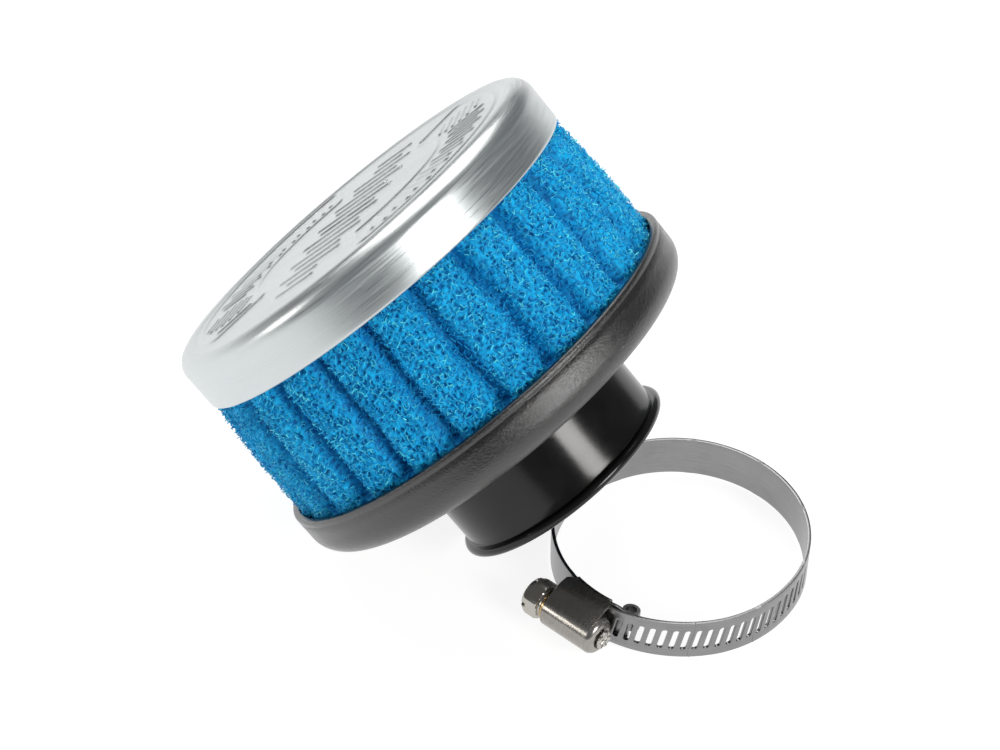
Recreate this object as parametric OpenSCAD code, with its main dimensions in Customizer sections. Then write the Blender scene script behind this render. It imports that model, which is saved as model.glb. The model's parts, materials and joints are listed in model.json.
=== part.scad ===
// Clamp-on foam air filter for a small carburettor, with its worm-drive hose clamp.
// The filter lies tipped over on the bead of its neck, its base just clear. The clamp lies flat beside it.
// Origin: centre of the neck's mouth. +Z is up. All lengths are millimetres, all angles degrees.

/* [Filter: neck and base] */
// Bore of the neck, which slides over the carburettor spigot
neck_bore_d = 35; // [33:0.5:36]
// Outside diameter of the neck, which the clamp grips
neck_d = 40; // [39:0.5:41]
// Outside diameter of the bead round the mouth
bead_d = 42.6; // [42:0.2:44]
// Length of the neck, from its mouth to the underside of the base
neck_len = 16.9; // [15:0.1:18]
// Outside diameter of the base
base_d = 79.4; // [79.4:0.2:84]
// Radius of the rounded corner under the base
base_corner = 4.4; // [3:0.2:5]
// Height of the base's lip above the mouth
lip_h = 25.9; // [25:0.1:28]
// Thickness of the base's floor
base_floor = 2.5; // [2:0.1:3]

/* [Filter: foam and cage] */
// Foam diameter just above the base's lip
foam_low_d = 76.2; // [75:0.2:76.4]
// Foam diameter just below the cap's rim
foam_top_d = 74; // [73.4:0.2:75]
// Bore of the foam sleeve
foam_bore_d = 60; // [60:0.5:61]
// Number of lengthwise ribs on the foam
foam_ribs = 24; // [18:1:26]
// Depth of the grooves between the ribs
foam_groove = 1.6; // [0.8:0.1:2.4]
// Wire diameter of the support cage
wire_d = 1.2; // [1:0.1:1.2]
// Number of upright wires
uprights = 12; // [8:1:16]
// Number of wire hoops
hoops = 4; // [3:1:5]

/* [Filter: end cap] */
// Outside diameter of the pressed steel cap
cap_d = 75; // [74.6:0.2:76]
// Height of the cap's rim above the mouth
cap_rim_h = 49.3; // [48:0.1:50]
// Height of the cap's top above the mouth
cap_top_h = 58.8; // [57:0.1:60]
// Radius of the cap's rounded shoulder
cap_shoulder = 3; // [2:0.5:3]
// Thickness of the cap's sheet
cap_sheet = 0.8; // [0.6:0.1:0.9]

/* [Clamp: band] */
// Inside diameter of the open clamp
clamp_d = 43.6; // [43.6:0.1:44]
// Width of the band
band_w = 8; // [8:0.5:8.5]
// Thickness of the band
band_t = 0.6; // [0.5:0.1:0.6]
// Spacing of the slots along the band, equal to the pitch of the worm
slot_pitch = 1.9; // [1.85:0.05:2]
// Length of a slot across the band
slot_len = 4.2; // [4:0.1:4.6]
// Width of a slot
slot_w = 0.95; // [0.8:0.05:1]
// Slant of the slots
slot_slant = 14; // [0:1:16]

/* [Clamp: housing and screw] */
// Length of the housing along the screw
housing_len = 10.8; // [10.6:0.2:11.2]
// Crest radius of the worm
worm_r = 2.5; // [2.4:0.1:2.5]
// Width across the flats of the hex head
hex_af = 6; // [5.8:0.1:6.2]
// Length of the hex head
hex_len = 3.5; // [3.2:0.1:4]

/* [Layout] */
// Compass direction that the filter leans to
lean_dir = 153.8; // [150:0.1:160]
// Centre of the clamp along X from the neck's mouth
clamp_x = 20; // [20:0.1:30]
// Centre of the clamp along Y from the neck's mouth
clamp_y = -6.8; // [-12:0.1:-4]
// Direction from the clamp's centre to its housing
housing_dir = -136; // [-140:0.1:-130]

/* [Hidden] */
$fn = 96;
eps = 0.01;

// Neck and base
bead_round = 0.9;
bead_h = 2 * bead_round;
lip_wall = 1.4;
lip_round = 0.6;
floor_top_h = neck_len + base_floor;
cup_r = base_d / 2 - lip_wall;

// Foam, cage and bonding
bond_h = 1.5;
cap_under_h = cap_top_h - cap_sheet;
cap_inner_r = cap_d / 2 - cap_sheet;
cap_inner_shoulder = cap_shoulder - cap_sheet;
foam_bottom_h = floor_top_h + bond_h;
foam_top_h = cap_under_h - bond_h;
foam_gap = 0.2;
groove_phase = 0.09;
cage_r = foam_bore_d / 2 - 0.2 - wire_d / 2;
cage_ring_h = 1.5;

// How the tipped filter lies: on its bead, and lay_short degrees short of touching with the base's corner too
lay_short = 1.5;
bead_arc_r = bead_d / 2 - bead_round;
corner_arc_r = base_d / 2 - base_corner;
corner_arc_h = neck_len + base_corner;
run_r = corner_arc_r - bead_arc_r;
run_h = corner_arc_h - bead_round;
lay_tilt = acos((base_corner - bead_round) / norm([run_r, run_h])) - atan2(run_r, run_h) - lay_short;
floor_z = bead_round * cos(lay_tilt) - bead_arc_r * sin(lay_tilt) - bead_round;

// Clamp band. Ring angle 0 is at the housing, positive towards the slotted side
band_r = clamp_d / 2;
fixed_from = -20;
fixed_to = 20;
link_step = 35;
link_count = 9;
link_gap = 0.05;
// The last link is an arc about its own centre, so that it can slide through the housing as the ring closes
tail_r = 23.4;
tail_c = [-0.417, -1.145];
tail_from = -6;
tail_to = 60;
tail_start_r = 22.2;
last_slot = 116;
ear = 0.55;
ear_from = -9;
ear_to = 11;
housing_turn = 4;
cheek_gap = 0.06;

// Screw and housing, in the housing's frame: X away from the ring, Y along the screw, Z up
worm_clear = 0.2;
worm_x = tail_r + band_t + worm_clear + worm_r;
worm_z = band_w / 2;
worm_root_r = 1.95;
worm_half = 4.4;
thread_w = 0.8;
neck_r = 1.6;
pilot_r = 1.1;
run_fit = 0.08;
shell_t = 0.65;
cavity_r = worm_r + 0.25;
roof_r = cavity_r + shell_t;
end_wall = 0.8;
washer_t = 0.55;
washer_r = 2.9;
collar_t = 0.5;
collar_r = 2.7;
cheek_low_x = 22.5;
band_top_x = tail_r + band_t + 0.25;

steel = "silver";
nickel = "gainsboro";

// ---- placing ----

module lay_filter() {
    rotate([0, lay_tilt, lean_dir]) children();
}

module lay_clamp() {
    translate([clamp_x, clamp_y, floor_z + ear]) rotate(housing_dir) children();
}

module housing_frame() {
    lay_clamp() translate([tail_c.x, tail_c.y, 0]) rotate(housing_turn) children();
}

module ring_part(r_in, r_out, low, high) {
    translate([0, 0, low])
        rotate_extrude() translate([r_in, 0]) square([r_out - r_in, high - low]);
}

// ---- filter ----

// One rubber moulding: mouth bead, neck, floor and the cup that holds the foam
module base_boot() {
    color("dimgray") lay_filter() rotate_extrude() boot_section();
}

module boot_section() {
    union() {
        translate([neck_bore_d / 2, 0]) square([bead_arc_r - neck_bore_d / 2, bead_h]);
        translate([bead_arc_r, bead_round]) circle(r = bead_round);
        translate([neck_bore_d / 2, 0]) square([(neck_d - neck_bore_d) / 2, floor_top_h]);
        translate([neck_bore_d / 2, neck_len]) square([corner_arc_r - neck_bore_d / 2, base_floor]);
        intersection() {
            translate([corner_arc_r, corner_arc_h]) circle(r = base_corner);
            difference() {
                translate([corner_arc_r, neck_len]) square([base_corner, base_corner]);
                translate([0, floor_top_h]) square([cup_r, base_corner]);
            }
        }
        translate([cup_r, corner_arc_h]) square([lip_wall, lip_h - lip_round - corner_arc_h]);
        translate([cup_r, corner_arc_h]) square([lip_wall - lip_round, lip_h - corner_arc_h]);
        translate([base_d / 2 - lip_round, lip_h - lip_round]) circle(r = lip_round);
    }
}

// Cured adhesive under the foam
module base_bond() {
    color("ivory") lay_filter()
        ring_part(foam_bore_d / 2 + 0.3, cup_r - 0.1, floor_top_h, foam_bottom_h);
}

// Ribbed foam sleeve, tucked into the base's lip below and under the cap's skirt above
module foam_sleeve() {
    color("deepskyblue") lay_filter() difference() {
        rotate_extrude() foam_section();
        for (i = [0 : foam_ribs - 1])
            rotate((i + groove_phase) * 360 / foam_ribs) foam_groove_cut();
    }
}

module foam_section() {
    bore = foam_bore_d / 2;
    polygon([
        [bore, foam_bottom_h],
        [foam_low_d / 2, foam_bottom_h],
        [foam_low_d / 2, lip_h + 0.4],
        [foam_top_d / 2, cap_rim_h - 0.2],
        [cap_inner_r - foam_gap, cap_rim_h],
        [cap_inner_r - foam_gap, foam_top_h],
        [bore, foam_top_h]
    ]);
}

module foam_groove_cut() {
    low_x = foam_low_d / 2 - foam_groove;
    lean = atan2((foam_low_d - foam_top_d) / 2, cap_rim_h - lip_h);
    translate([low_x, 0, lip_h + 1])
        rotate([0, -lean, 0])
            translate([0, 0, 0.5]) rotate(45)
                cube([3, 3, cap_rim_h - lip_h - 2.5]);
}

// Flat ring that stands on the base's floor and carries the upright wires
module cage_lower_ring() {
    color(steel) lay_filter()
        ring_part(cage_r - wire_d / 2, cage_r + wire_d / 2, floor_top_h, floor_top_h + cage_ring_h);
}

// Upright wires between the two rings
module cage_uprights() {
    color(steel) lay_filter()
        for (i = [0 : uprights - 1])
            rotate(i * 360 / uprights)
                translate([cage_r, 0, floor_top_h + cage_ring_h])
                    cylinder(d = wire_d, h = cap_under_h - floor_top_h - 2 * cage_ring_h, $fn = 24);
}

// Wire hoops inside the uprights
module cage_hoops() {
    span = cap_under_h - floor_top_h - 2 * cage_ring_h;
    color(steel) lay_filter()
        for (i = [1 : hoops])
            translate([0, 0, floor_top_h + cage_ring_h + i * span / (hoops + 1)])
                rotate_extrude() translate([cage_r - wire_d - 0.03, 0]) circle(d = wire_d, $fn = 24);
}

// Flat ring under the cap that holds the tops of the wires
module cage_upper_ring() {
    color(steel) lay_filter()
        ring_part(cage_r - wire_d / 2, cage_r + wire_d / 2, cap_under_h - cage_ring_h, cap_under_h);
}

// Cured adhesive over the foam
module cap_bond() {
    color("ivory") lay_filter()
        ring_part(foam_bore_d / 2 + 0.3, cap_inner_r - cap_inner_shoulder, foam_top_h, cap_under_h);
}

// Pressed sheet cup with a rounded shoulder
module top_cap() {
    color("lightgray") lay_filter() rotate_extrude() difference() {
        cap_outline(cap_d / 2, cap_top_h, cap_shoulder);
        cap_outline(cap_inner_r, cap_under_h, cap_inner_shoulder);
    }
}

module cap_outline(r, top, shoulder) {
    union() {
        translate([0, cap_rim_h]) square([r - shoulder, top - cap_rim_h]);
        translate([0, cap_rim_h]) square([r, top - shoulder - cap_rim_h]);
        translate([r - shoulder, top - shoulder]) intersection() {
            circle(r = shoulder);
            square(shoulder + eps);
        }
    }
}

// ---- clamp ----

// Band wall between two ring angles, about its own centre
module band_arc(r, from, to, width = band_w) {
    rotate(from) rotate_extrude(angle = to - from) translate([r, 0]) square([band_t, width]);
}

// One slanted slot at a ring angle
module slot_cut(r, at) {
    rotate(at) translate([r + band_t / 2, 0, band_w / 2]) rotate([-slot_slant, 0, 0])
        cube([4 * band_t, slot_w, slot_len], center = true);
}

// Slots at a fixed pitch, numbered from the band's tail, that fall between two ring angles
module slot_row(r, from, to) {
    step = slot_pitch / (r + band_t / 2) * 180 / PI;
    for (n = [0 : floor((last_slot - tail_from) / step)]) {
        at = tail_from + (n + 1.2) * step;
        if (at > from + 0.75 * step && at < min(to - 0.75 * step, last_slot)) slot_cut(r, at);
    }
}

// Fixed end of the band. It runs under the screw, its ears carry the housing, and it ends in a tongue
module band_fixed_end() {
    half_gap = link_gap / 2 / band_r * 180 / PI;
    color(steel) lay_clamp() difference() {
        translate([0, 0, -ear]) band_arc(band_r, fixed_from + half_gap, fixed_to, band_w + 2 * ear);
        for (low = [-ear - 1, band_w]) {
            translate([0, 0, low]) ear_cut(fixed_from - 5, ear_from);
            translate([0, 0, low]) ear_cut(ear_to, fixed_to + 5);
        }
    }
}

// Trims an edge of the fixed end down to the band's own width
module ear_cut(from, to) {
    rotate(from) rotate_extrude(angle = to - from)
        translate([band_r - 1, 0]) square([band_t + 2, ear + 1]);
}

// Band link from hinge i to hinge i + 1, counted from the fixed end, away from the slotted side
module band_link(i) {
    half_gap = link_gap / 2 / band_r * 180 / PI;
    high = fixed_from - (i - 1) * link_step - half_gap;
    low = high - link_step + 2 * half_gap;
    color(steel) lay_clamp() difference() {
        band_arc(band_r, low, high);
        slot_row(band_r, low + 360, high + 360);
    }
}

// The link before the tail opens outwards, from the ring's radius to the start of the tail
module band_link_spiral() {
    from = tail_to;
    to = tail_to + link_step;
    half_gap = link_gap / 2 / band_r * 180 / PI;
    a = tail_start_r * [cos(from), sin(from)];
    b = band_r * [cos(to), sin(to)];
    mid = (a + b) / 2;
    chord = norm(b - a);
    r = band_r + 0.6;
    rise = sqrt(r * r - chord * chord / 4);
    centre = mid + rise * [-(b - a).y, (b - a).x] / chord;
    start = atan2(a.y - centre.y, a.x - centre.x);
    end = atan2(b.y - centre.y, b.x - centre.x);
    color(steel) lay_clamp() translate([centre.x, centre.y, 0]) difference() {
        band_arc(r, start + half_gap, end - half_gap);
        slot_row(r, start + half_gap, end - half_gap);
    }
}

// The slotted tail that the worm draws through the housing
module band_tail() {
    a = tail_start_r * [cos(tail_to), sin(tail_to)] - tail_c;
    to = atan2(a.y, a.x) - link_gap / 2 / tail_r * 180 / PI;
    color(steel) lay_clamp() translate([tail_c.x, tail_c.y, 0]) difference() {
        band_arc(tail_r, tail_from, to);
        slot_row(tail_r, tail_from, to);
    }
}

module band_link_1() { band_link(1); }
module band_link_2() { band_link(2); }
module band_link_3() { band_link(3); }
module band_link_4() { band_link(4); }
module band_link_5() { band_link(5); }
module band_link_6() { band_link(6); }
module band_link_7() { band_link(7); }
module band_link_8() { band_link_spiral(); }
module band_link_9() { band_tail(); }

// Extrudes a section drawn in X and Z along Y, between two stations of the housing
module along_screw(from, to) {
    translate([0, to, 0]) rotate([90, 0, 0]) linear_extrude(to - from) children();
}

// Saddle over the screw: a round roof, flared shoulders and two cheeks welded to the ears of the band
module clamp_housing() {
    half = housing_len / 2;
    color(nickel) housing_frame() difference() {
        along_screw(-half, half) saddle_outline();
        along_screw(-half + end_wall, half - end_wall) translate([worm_x, worm_z]) circle(r = cavity_r);
        along_screw(-half - 1, half + 1) translate([cheek_low_x - 1, -cheek_gap])
            square([band_top_x - cheek_low_x + 1, band_w + 2 * cheek_gap]);
        along_screw(-half + end_wall, half - end_wall)
            translate([band_top_x - eps, worm_z - cavity_r])
                square([worm_x - band_top_x, 2 * cavity_r]);
        along_screw(-half - 1, 0) translate([worm_x, worm_z]) circle(r = neck_r + run_fit);
        along_screw(0, half + 1) translate([worm_x, worm_z]) circle(r = pilot_r + run_fit);
    }
}

module saddle_outline() {
    translate([worm_x, worm_z]) circle(r = roof_r);
    polygon([
        [cheek_low_x, -ear], [band_top_x, -ear], [worm_x, worm_z - roof_r],
        [worm_x, worm_z + roof_r], [band_top_x, band_w + ear], [cheek_low_x, band_w + ear]
    ]);
}

// A disc of revolution about the screw's axis, given as [station, radius] points
module screw_turned(points) {
    translate([worm_x, 0, worm_z]) rotate([-90, 0, 0]) rotate_extrude()
        polygon(concat([[0, points[0][0]]], [for (p = points) [p[1], p[0]]],
            [[0, points[len(points) - 1][0]]]));
}

// Screw with its worm, collar and slotted hex head
module clamp_screw() {
    half = housing_len / 2;
    head_in = -half - washer_t - 0.15 - collar_t;
    head_out = head_in - hex_len;
    corner_r = hex_af / 2 / cos(30);
    color(nickel) housing_frame() {
        difference() {
            union() {
                screw_turned([
                    [head_in - eps, collar_r], [head_in + collar_t, collar_r],
                    [head_in + collar_t, neck_r],
                    [-worm_half, neck_r], [-worm_half, worm_root_r], [worm_half, worm_root_r],
                    [worm_half, pilot_r], [half + 0.2, pilot_r], [half + 0.2, 1.7],
                    [half + 0.6, 1.7], [half + 0.8, 1.3]
                ]);
                for (n = [-2 : 2]) thread_ring(n * slot_pitch);
                intersection() {
                    translate([worm_x, head_in, worm_z]) rotate([90, 0, 0])
                        cylinder(r = corner_r, h = hex_len, $fn = 6);
                    screw_turned([[head_out, corner_r - 0.8], [head_out + 0.8, corner_r],
                        [head_in, corner_r]]);
                }
            }
            translate([worm_x, head_out, worm_z]) cube([2 * corner_r, 2.2, 0.9], center = true);
        }
    }
}

module thread_ring(at) {
    screw_turned([[at - thread_w / 2, worm_root_r], [at - thread_w / 6, worm_r],
        [at + thread_w / 6, worm_r], [at + thread_w / 2, worm_root_r]]);
}

// Thrust washer between the screw's collar and the housing
module screw_washer() {
    outer = -housing_len / 2 - 0.07;
    color("goldenrod") housing_frame() translate([worm_x, outer, worm_z]) rotate([90, 0, 0])
        difference() {
            cylinder(r = washer_r, h = washer_t);
            translate([0, 0, -1]) cylinder(r = neck_r + run_fit, h = washer_t + 2);
        }
}

base_boot();
base_bond();
foam_sleeve();
cage_lower_ring();
cage_uprights();
cage_hoops();
cage_upper_ring();
cap_bond();
top_cap();
clamp_housing();
band_fixed_end();
clamp_screw();
screw_washer();
band_link_1();
band_link_2();
band_link_3();
band_link_4();
band_link_5();
band_link_6();
band_link_7();
band_link_8();
band_link_9();
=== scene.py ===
"""The looks of the clamp-on foam air filter and its hose clamp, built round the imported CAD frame.

Shapes are worked out in millimetres in one of three frames of the part (the filter's, the clamp
ring's and the screw housing's) and then placed in the row frame in metres.
"""

import json
import math

import bmesh
import bpy
import numpy as np
from mathutils import Matrix, Vector


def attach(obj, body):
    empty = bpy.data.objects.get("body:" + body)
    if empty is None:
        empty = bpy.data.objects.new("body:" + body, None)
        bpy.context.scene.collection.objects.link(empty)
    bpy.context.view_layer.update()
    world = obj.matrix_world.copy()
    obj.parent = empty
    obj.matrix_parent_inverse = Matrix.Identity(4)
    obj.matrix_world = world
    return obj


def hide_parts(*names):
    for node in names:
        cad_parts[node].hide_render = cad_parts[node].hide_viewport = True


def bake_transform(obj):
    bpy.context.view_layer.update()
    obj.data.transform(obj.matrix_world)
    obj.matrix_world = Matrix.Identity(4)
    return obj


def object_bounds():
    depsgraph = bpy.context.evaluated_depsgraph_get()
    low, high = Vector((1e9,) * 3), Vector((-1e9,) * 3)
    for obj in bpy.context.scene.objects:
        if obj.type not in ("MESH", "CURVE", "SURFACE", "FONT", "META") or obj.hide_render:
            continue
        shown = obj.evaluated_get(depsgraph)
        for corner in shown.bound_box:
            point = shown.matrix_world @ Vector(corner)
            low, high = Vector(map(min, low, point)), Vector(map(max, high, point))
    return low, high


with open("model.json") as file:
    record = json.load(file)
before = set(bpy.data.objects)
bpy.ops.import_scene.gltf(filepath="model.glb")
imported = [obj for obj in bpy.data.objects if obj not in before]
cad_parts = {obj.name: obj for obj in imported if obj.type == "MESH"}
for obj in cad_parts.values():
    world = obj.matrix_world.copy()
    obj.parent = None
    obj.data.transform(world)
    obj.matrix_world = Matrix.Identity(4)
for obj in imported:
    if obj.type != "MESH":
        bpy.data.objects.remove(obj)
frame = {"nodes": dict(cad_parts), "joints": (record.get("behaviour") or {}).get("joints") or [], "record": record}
cad_box = [list(corner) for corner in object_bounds()]
record = frame["record"]

MM = 0.001
SEED = 7

# Filter, in millimetres: radii, and heights above the neck's mouth
BORE_R, NECK_R, NECK_LEN = 17.5, 20.0, 16.9
BEAD_R, BEAD_ROUND = 21.3, 0.9
BASE_R, BASE_CORNER, LIP_H, LIP_WALL = 39.7, 4.4, 25.9, 1.4
FLOOR_TOP = 19.4
CAP_R, CAP_RIM, CAP_TOP, SHOULDER, SHEET = 37.5, 49.3, 58.8, 3.0, 0.8
FOAM_LOW_R, FOAM_TOP_R, FOAM_BORE_R = 38.1, 37.0, 30.0
FOAM_BOTTOM, FOAM_TOP = 20.9, 56.5
RIBS, GROOVE_PHASE, GROOVE = 24, 0.09, 2.3

# Foam cells, in millimetres: size of the pits and of the strands' cells
PIT_CELL, STRAND_CELL = 0.95, 1.25

# Clamp, in millimetres and in degrees round the ring from the housing
BAND_R, BAND_T, BAND_W, EAR, EDGE = 21.8, 0.6, 8.0, 0.55, 0.07
FIXED_FROM, FIXED_TO, LINK_STEP = -20, 20, 35
TAIL_R, TAIL_C, TAIL_FROM, TAIL_TO, TAIL_START_R = 23.4, (-0.417, -1.145), -6, 60, 22.2
SLOT_PITCH, SLOT_LEN, SLOT_W, SLOT_SLANT, LAST_SLOT = 1.9, 4.4, 0.95, 11, 116
HOUSING_TURN, HOUSING_LEN = 4, 10.8
WORM_X, WORM_Z, WORM_R, WORM_ROOT, WORM_HALF = 26.7, 4.0, 2.5, 1.95, 4.4
ROOF_R, SHELL, FOOT_GAP = 3.4, 0.65, 0.06
HEX_AF, HEX_LEN, WASHER_T, WASHER_R = 6.0, 3.5, 0.55, 2.9
TONGUE_END = 0.1
COLLAR_T, COLLAR_R, SCREW_NECK, PILOT_R, POINT_R = 0.5, 2.7, 1.6, 1.1, 1.7


# ---- the part's frames ----


def named(rows, name):
    return next(row for row in rows if row["name"] == name)


def filter_place():
    """The filter's frame: Z from the neck's mouth to the cap, Y level."""
    z = -Vector(named(record["mounts"], "neck_bore")["axis"]).normalized()
    y = Vector((-z.y, z.x, 0)).normalized()
    return Matrix((y.cross(z), y, z)).transposed().to_4x4()


def ring_place():
    """The clamp ring's frame: Z up from the band's lower edge, X towards the housing."""
    screw = Vector(named(frame["joints"], "screw_turn")["axis"])
    heading = math.atan2(screw.y, screw.x) - math.radians(90 + HOUSING_TURN)
    centre = Vector(named(record["mounts"], "clamp_ring")["pos_m"]) + Vector((0, 0, EAR * MM))
    return Matrix.Translation(centre) @ Matrix.Rotation(heading, 4, "Z")


FILTER = filter_place()
RING = ring_place()
HOUSING = (
    RING
    @ Matrix.Translation(Vector((*TAIL_C, 0)) * MM)
    @ Matrix.Rotation(math.radians(HOUSING_TURN), 4, "Z")
)


def placed(points, place):
    """Millimetre points of one of the part's frames, as metres in the row frame."""
    turn = np.array(place.to_3x3())
    return np.asarray(points, float) * MM @ turn.T + np.array(place.translation)


def row_point(point, place):
    return Vector(placed([point], place)[0])


# ---- meshes ----


def grid_faces(rows, columns, wrap_rows=False, wrap_columns=True):
    """Quads of a grid of points stored row by row."""
    r = np.arange(rows if wrap_rows else rows - 1)[:, None]
    c = np.arange(columns if wrap_columns else columns - 1)[None, :]
    r2, c2 = (r + 1) % rows, (c + 1) % columns
    quads = np.stack([r * columns + c, r * columns + c2, r2 * columns + c2, r2 * columns + c], -1)
    return quads.reshape(-1, 4)


def build_mesh(name, points, faces, place, local=None, smooth_angle=180.0):
    """A mesh object from millimetre points. Its attribute "local" holds the pattern coordinates."""
    mesh = bpy.data.meshes.new(name)
    points = np.asarray(points, float)
    mesh.from_pydata(placed(points, place).tolist(), [], [tuple(int(i) for i in f) for f in faces])
    pattern = mesh.attributes.new("local", "FLOAT_VECTOR", "POINT")
    pattern.data.foreach_set("vector", np.asarray(points if local is None else local, np.float32).ravel())
    mesh.shade_smooth()
    if smooth_angle < 180:
        mesh.set_sharp_from_angle(angle=math.radians(smooth_angle))
    obj = bpy.data.objects.new(name, mesh)
    bpy.context.scene.collection.objects.link(obj)
    return obj


def finish_piece(obj, body, material, slot_name, *replaced):
    """Gives a piece its material, its body and the CAD nodes it stands for; slot_name is not used."""
    obj.data.materials.clear()
    obj.data.materials.append(material)
    if replaced:
        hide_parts(*replaced)
    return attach(obj, body) if body else obj


def arc(centre_r, centre_h, radius, start, end, count):
    """Points of an arc in a section, as (radius, height), angles in degrees from +r."""
    angles = np.radians(np.linspace(start, end, count))
    return [(centre_r + radius * math.cos(a), centre_h + radius * math.sin(a)) for a in angles]


def circle(radius, height, angles):
    """Points round Z at the given angles."""
    flat = [radius * np.cos(angles), radius * np.sin(angles)]
    return np.stack([*flat, np.broadcast_to(float(height), angles.shape)], -1)


def lathe(profile, columns):
    """Points of a closed section turned about Z, and their faces."""
    angles = np.linspace(0, 2 * math.pi, columns, endpoint=False)
    rings = [circle(r, h, angles) for r, h in profile]
    return np.concatenate(rings), grid_faces(len(profile), columns, wrap_rows=True)


def chop(profile, longest):
    """The same closed section with its long straight runs divided."""
    out = []
    for (r0, h0), (r1, h1) in zip(profile, profile[1:] + profile[:1]):
        steps = max(1, math.ceil(math.hypot(r1 - r0, h1 - h0) / longest))
        out += [(r0 + (r1 - r0) * k / steps, h0 + (h1 - h0) * k / steps) for k in range(steps)]
    return out


def lattice_noise(points, cell, seed):
    """Smooth value noise from -1 to 1 at each point, on a lattice of the given cell size."""
    scaled = np.asarray(points, float) / cell
    low = np.floor(scaled).astype(np.int64)
    part = scaled - low
    part = part * part * (3 - 2 * part)
    total = np.zeros(len(scaled))
    for corner in np.ndindex(*(2,) * scaled.shape[1]):
        weight = np.prod(np.where(np.array(corner), part, 1 - part), axis=1)
        total += weight * hashed(low + np.array(corner), seed)
    return total


def hashed(keys, seed):
    """A repeatable value from -1 to 1 for each row of whole numbers."""
    mixed = np.full(len(keys), seed * 7919 + 17, np.uint64)
    for column in np.asarray(keys, np.int64).T:
        mixed ^= (column.astype(np.uint64) + np.uint64(0x9E3779B97F4A7C15)) + (mixed << np.uint64(6))
        mixed *= np.uint64(0xBF58476D1CE4E5B9)
        mixed ^= mixed >> np.uint64(29)
    return (mixed >> np.uint64(40)).astype(float) / float(1 << 23) - 1.0


def ease(value):
    """A smooth step from 0 to 1."""
    value = np.clip(value, 0, 1)
    return value * value * (3 - 2 * value)


# ---- materials ----


class Paint:
    """A material's node tree, with short calls to add nodes to it."""

    def __init__(self, name, **sockets):
        self.material = bpy.data.materials.new(name)
        self.material.use_nodes = True
        self.tree = self.material.node_tree
        self.shader = self.tree.nodes["Principled BSDF"]
        for socket, value in sockets.items():
            self.set(self.shader, socket, value)

    def set(self, node, socket, value):
        target = node.inputs[socket.replace("_", " ") if isinstance(socket, str) else socket]
        if isinstance(value, bpy.types.NodeSocket):
            self.tree.links.new(value, target)
        else:
            target.default_value = value

    def add(self, kind, output=0, settings=(), **sockets):
        node = self.tree.nodes.new("ShaderNode" + kind)
        for key, value in dict(settings).items():
            setattr(node, key, value)
        for socket, value in sockets.items():
            self.set(node, socket, value)
        return node.outputs[output]

    def coordinates(self, scale=(1, 1, 1), attribute="local"):
        """Pattern coordinates in millimetres: the mesh's own, or for a CAD node its place."""
        if attribute:
            source = self.add("Attribute", "Vector", {"attribute_name": attribute})
        else:
            source = self.add("TexCoord", "Object")
            scale = tuple(s / MM for s in scale)
        return self.add("Mapping", settings={"vector_type": "POINT"}, Vector=source, Scale=scale)

    def noise(self, vector, scale, detail=3.0, roughness=0.55):
        return self.add("TexNoise", "Fac", Vector=vector, Scale=scale, Detail=detail, Roughness=roughness)

    def ramp(self, value, *stops):
        node = self.tree.nodes.new("ShaderNodeValToRGB")
        self.tree.links.new(value, node.inputs[0])
        for position, _ in stops[2:]:
            node.color_ramp.elements.new(position)
        for element, (position, colour) in zip(node.color_ramp.elements, sorted(stops)):
            element.position = position
            element.color = (*colour, 1)
        return node.outputs[0]

    def span(self, value, low, high, start=0.0, end=1.0):
        """value carried from start..end to low..high."""
        return self.add("MapRange", Value=value, From_Min=start, From_Max=end, To_Min=low, To_Max=high)

    def maths(self, operation, a, b=0.0):
        node = self.tree.nodes.new("ShaderNodeMath")
        node.operation = operation
        self.set(node, 0, a)
        self.set(node, 1, b)
        return node.outputs[0]

    def bump(self, height, strength, depth):
        """Bump from a height of 0 to 1, with its depth in millimetres."""
        normal = self.add("Bump", Height=height, Strength=strength, Distance=depth * MM)
        self.set(self.shader, "Normal", normal)


def rubber(name, specular, roughness, grain):
    """Moulded rubber: near black, with a fine grain and faint smudges of dust."""
    paint = Paint(name, Specular_IOR_Level=specular, IOR=1.5)
    at = paint.coordinates()
    fine = paint.noise(at, 2.6, 4.0, 0.65)
    broad = paint.noise(at, 0.16, 3.0)
    dusty = paint.ramp(broad, (0.35, (0.0025, 0.0023, 0.0022)), (0.7, (0.007, 0.0065, 0.006)))
    paint.set(paint.shader, "Base_Color", dusty)
    smudge = paint.span(broad, 0.0, 0.06, 0.3, 0.7)
    satin = paint.span(fine, roughness[0], roughness[1], 0.3, 0.7)
    paint.set(paint.shader, "Roughness", paint.maths("ADD", smudge, satin))
    paint.bump(fine, grain, 0.12)
    return paint.material


def brushed_metal(name, colours, roughness, stretch, scratch, attribute="local", metallic=1.0):
    """Metal with fine streaks along one direction, smudges, and a few deeper scratches."""
    paint = Paint(name, Metallic=metallic)
    streaks = paint.noise(paint.coordinates(stretch, attribute), 1.0, 4.0, 0.65)
    smudge = paint.noise(paint.coordinates(attribute=attribute), 0.12, 4.0, 0.6)
    blend = paint.maths("ADD", paint.span(streaks, 0.0, 0.55), paint.span(smudge, 0.0, 0.45))
    paint.set(paint.shader, "Base_Color", paint.ramp(blend, (0.3, colours[0]), (0.7, colours[1])))
    low, high = roughness
    streaked = paint.span(streaks, 0.0, high - low, 0.3, 0.7)
    smudged = paint.span(smudge, low - 0.03, low + 0.05, 0.3, 0.7)
    paint.set(paint.shader, "Roughness", paint.maths("ADD", streaked, smudged))
    paint.bump(streaks, scratch, 0.02)
    return paint.material


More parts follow.
